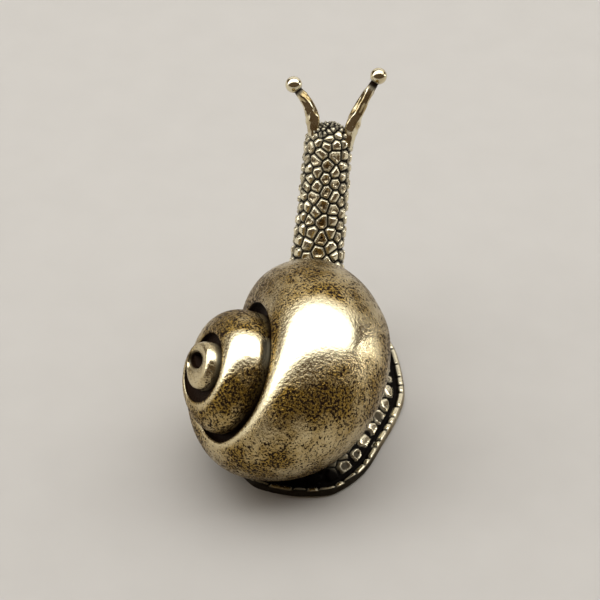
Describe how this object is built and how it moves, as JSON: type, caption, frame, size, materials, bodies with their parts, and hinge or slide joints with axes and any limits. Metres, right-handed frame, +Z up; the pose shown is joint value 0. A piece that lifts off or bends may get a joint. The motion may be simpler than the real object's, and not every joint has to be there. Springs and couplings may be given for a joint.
{
  "type": "snail figurine",
  "caption": "Small solid brass snail figurine: scaly foot and raised neck, coiled spiral shell seated on its back, and ball-tipped feelers.",
  "frame": {"origin": "middle of the foot's length and width, on its flat sole", "axes": "+Z up from the sole, +Y the way the snail faces, +X its right side"},
  "size_m": [0.025, 0.0446, 0.0337],
  "materials": {
    "body_brass": "antiqued, scales polished on top with dark grooves",
    "shell_brass": "polished, with fine dark pits and dark sutures",
    "feeler_brass": "polished"
  },
  "bodies": {
    "root": {"body_casting": "body_brass", "shell_casting": "shell_brass", "left_feeler": "feeler_brass", "right_feeler": "feeler_brass"}
  },
  "joints": []
}
